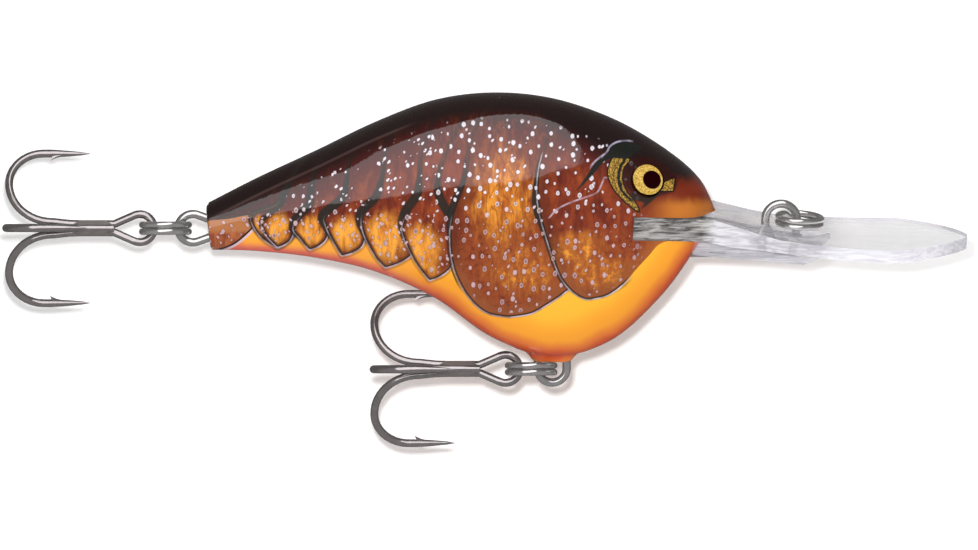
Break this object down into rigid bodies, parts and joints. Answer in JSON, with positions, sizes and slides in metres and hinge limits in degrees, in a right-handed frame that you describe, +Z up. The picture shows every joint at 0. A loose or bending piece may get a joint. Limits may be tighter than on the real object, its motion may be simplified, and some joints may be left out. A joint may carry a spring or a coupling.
{
  "type": "crankbait lure",
  "caption": "Deep-diving balsa crankbait with a clear diving lip, through-wire hangers, split rings and swinging treble hooks.",
  "frame": {"origin": "centre of the line-tie loop, in the body's middle plane", "axes": "+X forwards along the body to the tip of the diving lip, +Z up through the back, +Y to the lure's left side"},
  "size_m": [0.1133, 0.0199, 0.0432],
  "materials": {
    "painted_balsa": "gloss",
    "clear_polycarbonate": "polished",
    "hanger_wire": "polished",
    "black_nickel": "gloss",
    "braze": "satin",
    "ring_steel": "polished",
    "lead": "matte",
    "clear_tube": "satin",
    "plug_rubber": "matte",
    "ball_steel": "polished",
    "eye_gold": "gloss",
    "eye_clear": "polished"
  },
  "bodies": {
    "bait": {"body_right": "painted_balsa", "body_left": "painted_balsa", "diving_lip": "clear_polycarbonate", "through_wire": "hanger_wire", "ballast_weight": "lead", "rattle_tube": "clear_tube", "rattle_plug_front": "plug_rubber", "rattle_plug_rear": "plug_rubber", "eye_disc_right": "eye_gold", "eye_lens_right": "eye_clear", "eye_disc_left": "eye_gold", "eye_lens_left": "eye_clear"},
    "balls": {"rattle_balls": "ball_steel"},
    "line_ring": {"line_split_ring": "ring_steel"},
    "tail_ring": {"tail_split_ring": "ring_steel"},
    "belly_ring": {"belly_split_ring": "ring_steel"},
    "tail_hook": {"tail_hook_double": "black_nickel", "tail_hook_single": "black_nickel", "tail_hook_braze": "braze"},
    "belly_hook": {"belly_hook_double": "black_nickel", "belly_hook_single": "black_nickel", "belly_hook_braze": "braze"}
  },
  "joints": [
    {"name": "rattle_slide", "type": "slide", "parent": "bait", "child": "balls", "axis": [1, 0, 0], "range_m": [-0.0014, 0.0014]},
    {"name": "line_ring_lift", "type": "hinge", "parent": "bait", "child": "line_ring", "pos_m": [0, 0, 0], "axis": [0, -1, 0], "range_deg": [0, 150]},
    {"name": "tail_ring_swing", "type": "hinge", "parent": "bait", "child": "tail_ring", "pos_m": [-0.0709, 0, -0.0011], "axis": [0, 0.2079, 0.9781], "range_deg": [-60, 60]},
    {"name": "tail_hook_pitch", "type": "hinge", "parent": "tail_ring", "child": "tail_hook", "pos_m": [-0.07515, 0, -0.0011], "axis": [0, 0.9781, -0.2079], "range_deg": [-75, 75]},
    {"name": "belly_ring_swing", "type": "hinge", "parent": "bait", "child": "belly_ring", "pos_m": [-0.0286, 0, -0.01805], "axis": [0, 0.2079, 0.9781], "range_deg": [-60, 18]},
    {"name": "belly_hook_pitch", "type": "hinge", "parent": "belly_ring", "child": "belly_hook", "pos_m": [-0.03212, 0, -0.01805], "axis": [0, 0.9781, -0.2079], "range_deg": [-80, 3]}
  ]
}
